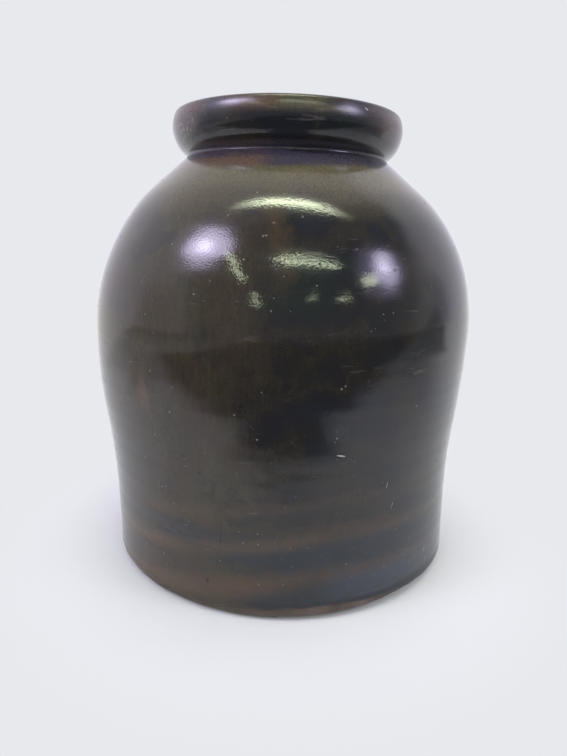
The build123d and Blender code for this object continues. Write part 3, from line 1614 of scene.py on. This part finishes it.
    def pour_run(self, finish: bpy.types.Material) -> bpy.types.Object:
        """A run of thick glaze down the wall, drawn as overlapping soft lenses, and its bead.

        Args:
            finish: Its material.

        Returns:
            The piece.
        """
        knots = np.array(self.run)
        lenses = []
        for k, spot in enumerate(np.linspace(0, len(knots) - 1, self.run_count)):
            azimuth, height = (float(np.interp(spot, range(len(knots)), knots[:, axis])) for axis in (0, 1))
            thick = 0.55 + 0.45 * math.sin(math.pi * k / (self.run_count - 1)) + 0.12 * math.sin(k * 1.3)
            axes = self.place_frame(azimuth, height, 90.0)
            wide, proud = self.run_width / 2 * thick, self.run_proud * thick
            lenses.append(self.lens(axes, self.run_length, wide, proud, 4, 12))
        azimuth, height, size, proud = self.bead
        lenses.append(self.lens(self.place_frame(azimuth, height), size, size * 0.9, proud, 7, 24))
        return self.gathered("glaze_run", lenses, finish)


@dataclass(frozen=True)
class PhotoCamera:
    """The camera at the photograph's place, in millimetres from the middle of the jar's foot."""

    place: Place = (3.05, -372.7, 202.8)
    down: float = 14.39
    roll: float = 1.49
    left: float = 0.23
    focal: float = 564.0
    tall: float = 756.0
    sensor: float = 36.0

    def aim(self) -> bpy.types.Object:
        """Makes the camera and looks through it.

        Returns:
            The camera.
        """
        data = bpy.data.cameras.new("photo_camera")
        data.sensor_width = self.sensor
        data.lens = self.focal / self.tall * self.sensor
        data.clip_start, data.clip_end = 0.01, 50.0
        camera = bpy.data.objects.new("photo_camera", data)
        bpy.context.collection.objects.link(camera)
        camera.matrix_world = Matrix.Translation(Vector(self.place) * MM)
        for angle, axis in ((self.left, "Z"), (90 - self.down, "X"), (self.roll, "Z")):
            camera.matrix_world = camera.matrix_world @ Matrix.Rotation(math.radians(angle), 4, axis)
        bpy.context.scene.camera = camera
        return camera


@dataclass(frozen=True)
class Lamp:
    """A soft rectangular lamp that faces the jar, placed by the direction of its highlight."""

    name: str
    azimuth: float
    elevation: float
    distance: float
    wide: float
    high: float
    glow: float
    tint: Colour
    tilt: float = 0.0
    fade: float = 0.0
    mirrored: bool = True
    target: Place = (0.0, -0.09, 0.19)

    def hang(self) -> bpy.types.Object:
        """Makes the lamp.

        Returns:
            The lamp's object.
        """
        data = bpy.data.lights.new(self.name, "AREA")
        data.shape = "RECTANGLE"
        data.size, data.size_y = self.wide, self.high
        data.energy = self.glow * self.wide * self.high * math.pi
        data.color = self.tint
        lamp = bpy.data.objects.new(self.name, data)
        bpy.context.collection.objects.link(lamp)
        way = toward(self.azimuth, self.elevation)
        spin = Matrix.Rotation(math.radians(self.tilt), 4, "Z")
        place = Matrix.Translation(Vector(self.target) + way * self.distance)
        lamp.matrix_world = place @ way.to_track_quat("Z", "Y").to_matrix().to_4x4() @ spin
        lamp.visible_camera = False
        lamp.visible_glossy = self.mirrored
        if self.fade > 0:
            self.feather(data)
        return lamp

    def feather(self, data: bpy.types.Light) -> None:
        """Lets the lamp's glow fall off towards its edge.

        Args:
            data: The lamp.
        """
        data.use_nodes = True
        wires = Tree(data.node_tree)
        off = wires.vector("DISTANCE", wires.add("NewGeometry").outputs["Parametric"], (0.5, 0.5, 0.0))
        glow = wires.step(off, 0.5 - 0.5 * self.fade, 0.5, 1.0, 0.0)
        wires.feed(wires.tree.nodes["Emission"].inputs["Strength"], glow)


@dataclass(frozen=True)
class Card:
    """A soft-edged card on the floor that only the glaze mirrors: for what lies beyond a table's edge and, in
    one case, a painted shadow on the floor.

    Its sizes are in metres, and its level over the floor is in millimetres.
    """

    name: str
    middle: Span
    wide: float
    deep: float
    turn: float
    tone: float
    soft: float
    level: float
    rough: float = 0.9

    def lay(self) -> bpy.types.Object:
        """Lays the card just over the floor, out of the camera's sight.

        Returns:
            The card.
        """
        wide, deep = self.wide / 2, self.deep / 2
        card = sheet(self.name, wide, deep)
        turn = Matrix.Rotation(math.radians(self.turn), 4, "Z")
        card.matrix_world = Matrix.Translation((*self.middle, self.level * MM)) @ turn
        pot = Recipe(self.name)
        pot.finish(Base_Color=(self.tone,) * 3, Roughness=self.rough)
        gaps = [pot.less(half, pot.apart(pot.axis(letter))) for half, letter in ((wide, "X"), (deep, "Y"))]
        wave = pot.times(pot.noise(18.0, detail=2.0), self.soft * 0.5)
        inside = pot.step(pot.less(pot.sum("MINIMUM", *gaps), wave), 0.0, self.soft)
        clear = pot.add("BsdfTransparent").outputs[0]
        card.data.materials.append(pot.cover(pot.shade(inside, clear, pot.shader.outputs[0])))
        card.visible_camera = card.visible_shadow = card.visible_diffuse = False
        return card


@dataclass(frozen=True)
class PaleFloor:
    """A plain pale floor that fades into the backdrop's colour far from the jar. In the glaze it is mirrored
    as a glow, a painted reflection, darker in front of the jar as painted shade.
    """

    reach: float = 6.0
    colour: Colour = (0.645, 0.647, 0.665)
    cloudy: float = 0.985
    rough: float = 0.6
    # Glow of the floor as the glaze mirrors it: a painted reflection, darker in front of the jar as painted
    # shade.
    mirrored: Colour = (1.09, 1.09, 1.11)
    mirrored_front_shade: Colour = (0.40, 0.39, 0.41)
    front_way: Span = (0.276, -0.961)
    front_edge: Span = (0.03, 0.50)
    seen_fade: Span = (0.09, 0.20)
    mirrored_fade: Span = (0.1, 0.9)

    def mix(self, name: str) -> bpy.types.Material:
        """Mixes the floor's material.

        Args:
            name: Name of the material.

        Returns:
            The material.
        """
        pot = Recipe(name)
        soft = tuple(part * self.cloudy for part in self.colour)
        pot.finish(Base_Color=pot.blend(pot.noise(14.0, seed=2.0), self.colour, soft), Roughness=self.rough)
        rays = pot.add("LightPath").outputs
        seen, glossy = rays["Is Camera Ray"], rays["Is Glossy Ray"]
        across, along = pot.axis("X"), pot.axis("Y")
        away = pot.sum("SQRT", pot.scaled(across, across, pot.times(along, along)))
        ahead = pot.scaled(across, self.front_way[0], pot.times(along, self.front_way[1]))
        in_front = pot.step(pot.sum("DIVIDE", ahead, away), *self.front_edge)
        # For glossy rays the floor away from the jar is a glow, a painted reflection; in front of the jar the
        # glow is darker, as painted shade.
        glow = pot.add("Emission")
        mirrored = pot.blend(in_front, self.mirrored, self.mirrored_front_shade)
        pot.feed(glow.inputs["Color"], pot.blend(glossy, BACKDROP, mirrored))
        fade = pot.plus(
            pot.times(pot.step(away, *self.seen_fade), seen),
            pot.times(pot.step(away, *self.mirrored_fade), glossy),
        )
        return pot.cover(pot.shade(fade, pot.shader.outputs[0], glow.outputs[0]))

    def lay(self) -> bpy.types.Object:
        """Lays the floor, which keeps the jar's shadow and shows no edge.

        Returns:
            The floor.
        """
        floor = sheet("studio_floor", self.reach, self.reach)
        floor.data.materials.append(self.mix("pale_floor"))
        return floor


@dataclass(frozen=True)
class Patch:
    """A soft-edged part of the room in one direction, lighter or darker than the rest."""

    azimuth: float
    elevation: float
    reach: float
    edge: float
    tone: Colour


@dataclass
class Studio:
    """Plain pale floor, soft lamps and a pale room that is darker behind the camera."""

    room: Colour = (1.05, 1.03, 1.16)
    patches: Tuple[Patch, ...] = (
        Patch(16.0, 12.0, 75.0, 14.0, (0.42, 0.41, 0.43)),
        Patch(14.0, 14.0, 52.0, 18.0, (0.28, 0.28, 0.31)),
        Patch(32.0, 44.0, 30.0, 10.0, (0.20, 0.21, 0.24)),
        Patch(82.0, 50.0, 18.0, 7.0, (0.22, 0.23, 0.26)),
        Patch(125.0, 72.0, 13.0, 8.0, (0.68, 0.68, 0.72)),
        Patch(-135.0, 68.0, 24.0, 14.0, (0.80, 0.77, 0.83)),
        Patch(-77.0, 3.0, 13.0, 8.0, (0.72, 0.69, 0.71)),
        Patch(99.0, 3.0, 12.0, 7.0, (0.66, 0.66, 0.70)),
        Patch(97.0, -3.0, 7.0, 3.0, (0.34, 0.32, 0.34)),
    )
    cards: Tuple[Card, ...] = (
        Card("front_card", (0.95, -2.31), 3.9, 4.0, -4.0, 0.04, 0.10, 0.7),
        # The phone card is a painted shadow: a dark sheet where the phone's shadow falls on the floor, seen
        # only in the glaze.
        Card("phone_shadow_card", (0.015, -0.34), 0.32, 0.32, 0.0, 0.07, 0.07, 0.8),
        Card("left_card", (-0.64, -0.15), 0.56, 0.44, 0.0, 0.36, 0.12, 0.6),
        Card("far_left_card", (-2.85, -1.65), 5.0, 4.2, 0.0, 0.48, 0.3, 0.5),
        Card("right_card", (1.02, -0.2), 0.70, 1.00, 0.0, 0.22, 0.12, 0.6),
        Card("far_right_card", (3.02, -0.02), 3.9, 2.0, 18.0, 0.26, 0.2, 0.5),
    )
    lamps: Tuple[Lamp, ...] = (
        Lamp("left_middle", -64.0, 42.2, 1.30, 0.40, 0.30, 13.0, PALE_VIOLET, 25.0, 1.0),
        Lamp("left_core", -61.5, 42.5, 1.35, 0.84, 0.56, 9.0, LAVENDER, 25.0, 0.45),
        Lamp("left_halo", -63.0, 42.3, 1.45, 1.30, 1.00, 3.0, VIOLET, 25.0, 1.0),
        Lamp("right_middle", 69.0, 30.5, 1.15, 0.26, 0.28, 9.5, PALE_VIOLET, -8.0, 1.0),
        Lamp("right_core", 69.2, 29.0, 1.2, 0.42, 0.53, 5.5, LAVENDER, -8.0, 0.45),
        Lamp("right_halo", 66.0, 29.5, 1.3, 0.95, 0.85, 3.4, VIOLET, -8.0, 1.0),
        Lamp("tube_overhead", 11.3, 81.6, 1.6, 2.00, 0.20, 29.0, TUBE, -12.5, 1.0),
        Lamp("overhead_halo", 0.0, 83.0, 1.7, 1.75, 0.5, 2.0, TUBE, 0.0, 1.0),
        Lamp("tube_front", 15.5, 43.2, 2.3, 1.42, 0.050, 28.0, TUBE, -9.0),
        Lamp("front_halo", 8.0, 44.0, 2.4, 2.3, 0.9, 1.2, TUBE, -9.0, 1.0),
        Lamp("tube_side", -35.0, 37.5, 2.2, 0.75, 0.06, 14.0, TUBE, -42.0),
        Lamp("tube_far_left", -16.5, 20.6, 3.5, 0.45, 0.10, 9.0, TUBE, -50.0),
        Lamp("tube_far_middle", 17.0, 22.5, 3.5, 0.28, 0.09, 8.0, TUBE, 30.0),
        Lamp("tube_far_right", 36.0, 20.6, 3.5, 0.50, 0.10, 9.0, TUBE),
        Lamp("tube_far_side", 55.0, 26.5, 3.0, 0.50, 0.28, 8.5, TUBE),
        Lamp("back_panel", 176.0, 62.0, 2.4, 1.9, 1.3, 1.2, WHITE, mirrored=False),
        Lamp("right_fill", 95.0, 48.0, 2.0, 1.3, 1.2, 1.7, WHITE, mirrored=False),
    )

    def light_room(self) -> None:
        """Fills the room with light: pale at the sides, back and top, dark behind the camera."""
        world = bpy.data.worlds.new("room")
        bpy.context.scene.world = world
        world.use_nodes = True
        wires = Tree(world.node_tree)
        wires.tree.nodes.clear()
        way = wires.add("TexCoord").outputs["Generated"]
        tone: object = self.room
        for patch in self.patches:
            facing = wires.vector("DOT_PRODUCT", way, toward(patch.azimuth, patch.elevation))
            rim, core = (math.cos(math.radians(patch.reach + side * patch.edge)) for side in (1, -1))
            tone = wires.blend(wires.step(facing, rim, core), tone, patch.tone)
        around, seen = wires.add("Background"), wires.add("Background")
        wires.feed(around.inputs["Color"], tone)
        wires.feed(seen.inputs["Color"], BACKDROP)
        camera_ray = wires.add("LightPath").outputs["Is Camera Ray"]
        surface = wires.shade(camera_ray, around.outputs[0], seen.outputs[0])
        wires.feed(wires.add("OutputWorld").inputs["Surface"], surface)

    def build(self) -> None:
        """Builds the studio."""
        PaleFloor().lay()
        self.light_room()
        for card in self.cards:
            card.lay()
        for lamp in self.lamps:
            lamp.hang()
        PhotoCamera().aim()
        bpy.context.scene.view_settings.view_transform = "Standard"


def main() -> None:
    """Builds the studio and the jar, piece by piece."""
    logging.basicConfig(level=logging.INFO, format="%(name)s: %(message)s")
    Studio().build()
    coats = Coats()
    marks = Marks(coats)
    slip = SlipGlaze().mix("slip_glaze")
    lining = LiningGlaze().mix("lining_glaze")
    clay = FiredClay().mix("fired_clay")
    blister = PaleMark().mix("blister_glaze")
    nicked = PaleMark((0.42, 0.43, 0.45), (0.18, 0.19, 0.19), 0.6).mix("nicked_glaze")
    pieces = (
        coats.clay(clay),
        coats.outer(slip),
        coats.lining(lining),
        marks.scatter_blisters(blister),
        marks.cut_nicks(nicked),
        marks.pour_run(slip),
    )
    for piece in pieces:
        log.info("%s has %d faces", piece.name, len(piece.data.polygons))


if __name__ == "__main__":
    main()
